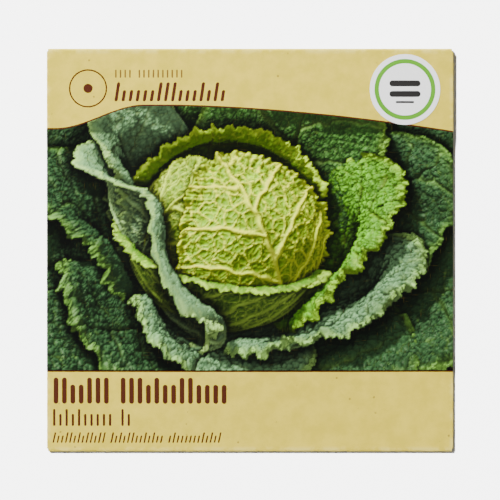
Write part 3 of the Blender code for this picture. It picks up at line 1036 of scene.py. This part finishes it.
def picture_material():
    """The picture's colours, broken up a little by the tooth of the paper under the ink."""
    shader = Shader("printed_picture_ink", 0.6, 0.07)
    _, fibres, _, tooth = paper_grain(shader, shader.here())
    ink = shader.node("VertexColor", layer_name="Ink").outputs["Color"]
    shader.colour(shader.mix(shader.times(fibres, 0.03), shader.mottled(ink, tooth, 0.3), PAPER_PALE))
    shader.bump(shader.calc("ADD", shader.times(fibres, 0.6), tooth), 0.000016)
    shader.rough(shader.calc("MULTIPLY_ADD", tooth, 0.14, 0.68))
    return shader.material


# In shares of the sticker's radius. Bars: height, half length, half thickness. Ring: radius, half width.
STICKER_BARS = [(0.17, 0.44, 0.085), (-0.13, 0.44, 0.085), (-0.36, 0.26, 0.03)]
STICKER_RING = (0.8, 0.062)
BAR_SOFTNESS, RING_SOFTNESS = 0.005, 0.004


def round_bar(shader, x, y, middle, half_length, half_thickness):
    """A mask of a level bar with round ends."""
    beyond = shader.calc("SUBTRACT", shader.calc("ABSOLUTE", x), half_length - half_thickness)
    beyond = shader.calc("MAXIMUM", beyond, 0.0)
    away = shader.distance(beyond, shader.calc("SUBTRACT", y, middle))
    return shader.band(away, 0.0, half_thickness, BAR_SOFTNESS)


def sticker_material():
    """White label paper with a green ring and plain dark bars."""
    shader = Shader("white_label_paper", 0.45, 0.4)
    x, y = shader.parts(shader.uv("Disc"))
    ring = shader.band(shader.distance(x, y), *STICKER_RING, RING_SOFTNESS)
    dark = strongest(shader, [round_bar(shader, x, y, *bar) for bar in STICKER_BARS])
    tooth = shader.noise(shader.here(), 4200.0, detail=2.0)
    white = shader.mix(shader.step(tooth, 0.35, 0.65), (0.925, 0.93, 0.915), (0.96, 0.96, 0.95))
    printed = shader.mix(ring, white, (0.09, 0.33, 0.006))
    shader.colour(shader.mix(dark, printed, (0.01, 0.009, 0.008)))
    shader.bump(tooth, 0.000008)
    shader.rough(shader.calc("MULTIPLY_ADD", tooth, 0.12, 0.38))
    return shader.material


def glue_material():
    shader = Shader("dried_glue_film", 0.35, 0.5)
    patches = shader.noise(shader.here(), 700.0, detail=4.0)
    shader.colour(shader.mix(shader.step(patches, 0.35, 0.65), (0.72, 0.66, 0.48), (0.86, 0.83, 0.72)))
    shader.bump(patches, 0.00004)
    return shader.material


def seed_material():
    """A dark seed coat with a fine net and a paler bloom."""
    shader = Shader("cabbage_seed_coat", 0.55, 0.35)
    here = shader.here()
    net = shader.cells(here, 9000.0, "DISTANCE_TO_EDGE")
    patches = shader.noise(here, 900.0, detail=3.0)
    base = shader.mix(shader.step(patches, 0.35, 0.65), (0.05, 0.022, 0.014), (0.115, 0.05, 0.028))
    edge = shader.step(net, 0.1, 0.02)
    shader.colour(shader.mix(shader.times(edge, 0.45), base, (0.2, 0.12, 0.075)))
    shader.bump(net, 0.00002)
    return shader.material


# ==== the set

# The floor is mid grey under a sun of its own, so that it is nearly white and the shadow on it dark.
STAGE_SIZE = 6.0
FLOOR_GREYS = ((0.258, 0.258, 0.257), (0.262, 0.262, 0.261))
FLOOR_SUN, SUN_ANGLE = 104.0, 0.1
BACKDROP_GREYS = ((0.9, 0.9, 0.897), (0.915, 0.915, 0.912))
BACKDROP_GLOW = 5.6
WORLD_LIGHT = 0.46
KEY_PLACE, KEY_POWER, KEY_SIZE = (-0.72, 0.76, 0.86), 44.0, 0.14
FILL_PLACE, FILL_POWER, FILL_SIZE = (0.7, -0.6, 1.3), 4.5, 1.2


def stage_shader(name, cloud_scale, greys):
    """A matt grey with faint clouds in it."""
    shader = Shader(name, 0.8, 0.1)
    shader.colour(shader.mix(shader.noise(shader.here(), cloud_scale), *greys))
    return shader


def make_floor():
    bpy.ops.mesh.primitive_plane_add(size=2.0 * STAGE_SIZE, location=(0.0, 0.0, 0.0))
    floor = bpy.context.object
    floor.name = "pale_floor"
    floor.data.materials.append(stage_shader("pale_floor", 6.0, FLOOR_GREYS).material)
    return floor


def make_backdrop():
    """A round wall behind everything. It glows for the camera, but gives the packet no light."""
    bpy.ops.mesh.primitive_cylinder_add(
        vertices=96, radius=0.98 * STAGE_SIZE, depth=STAGE_SIZE, end_fill_type="NOTHING",
        location=(0.0, 0.0, STAGE_SIZE / 2.0),
    )
    wall = bpy.context.object
    wall.name = "pale_backdrop"
    shader = stage_shader("pale_backdrop", 2.0, BACKDROP_GREYS)
    shader.main.inputs["Emission Color"].default_value = (1.0, 1.0, 1.0, 1.0)
    shader.main.inputs["Emission Strength"].default_value = BACKDROP_GLOW
    wall.data.materials.append(shader.material)
    wall.visible_diffuse = wall.visible_glossy = wall.visible_shadow = False


def put_lamp(lamp, place):
    """Turns a lamp from its place towards the packet."""
    obj = put_in_scene(lamp)
    obj.rotation_euler = (-mathutils.Vector(place)).to_track_quat("-Z", "Y").to_euler()
    return obj


def make_light(name, place, power, size):
    lamp = bpy.data.lights.new(name, "AREA")
    lamp.energy = power
    lamp.size = size
    put_lamp(lamp, place).location = place


def make_floor_sun(floor):
    """A sun from the key's side that lights nothing but the floor."""
    lamp = bpy.data.lights.new("floor_sun", "SUN")
    lamp.energy = FLOOR_SUN
    lamp.angle = SUN_ANGLE
    lit_floor = bpy.data.collections.new("lit_floor")
    lit_floor.objects.link(floor)
    put_lamp(lamp, KEY_PLACE).light_linking.receiver_collection = lit_floor


def make_set():
    floor = make_floor()
    make_backdrop()
    make_light("key", KEY_PLACE, KEY_POWER, KEY_SIZE)
    make_light("fill", FILL_PLACE, FILL_POWER, FILL_SIZE)
    make_floor_sun(floor)
    world = bpy.data.worlds.new("studio")
    world.use_nodes = True
    inputs = world.node_tree.nodes["Background"].inputs
    inputs["Color"].default_value = (1.0, 1.0, 1.0, 1.0)
    inputs["Strength"].default_value = WORLD_LIGHT
    bpy.context.scene.world = world


# The camera looks straight down on the front, and the frame is 1.231 packets wide.
CAMERA_LENS = 135.0
CAMERA_SENSOR = 36.0
FRAME_WIDTHS = 1.231


def make_camera():
    data = bpy.data.cameras.new("camera")
    data.lens = CAMERA_LENS
    data.sensor_width = CAMERA_SENSOR
    camera = put_in_scene(data)
    distance = FRAME_WIDTHS * WIDTH * CAMERA_LENS / CAMERA_SENSOR
    camera.location = ((LOW[0] + HIGH[0]) / 2.0, (LOW[1] + HIGH[1]) / 2.0, FRONT_LEVEL + distance)
    bpy.context.scene.camera = camera


# ==== putting it together


def add(piece, slot, *nodes):
    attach(piece, "root")
    if nodes:
        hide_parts(*nodes)


def paint_node(node, material):
    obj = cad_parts[node]
    obj.data.materials.clear()
    obj.data.materials.append(material)


def main():
    make_camera()
    make_set()
    add(make_sheet(sheet_material()), "printed_paper", "paper_bag")
    add(make_picture(picture_material()), "printed_paper")
    add(make_sticker(sticker_material()), "sticker_paper", "badge_sticker")
    glue = glue_material()
    for node in ("side_glue_left", "side_glue_right", "flap_glue"):
        paint_node(node, glue)
    coat = seed_material()
    for number, node in enumerate(sorted(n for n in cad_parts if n.startswith("seed_"))):
        add(make_seed(node, number, coat), "seed_coat", node)


main()
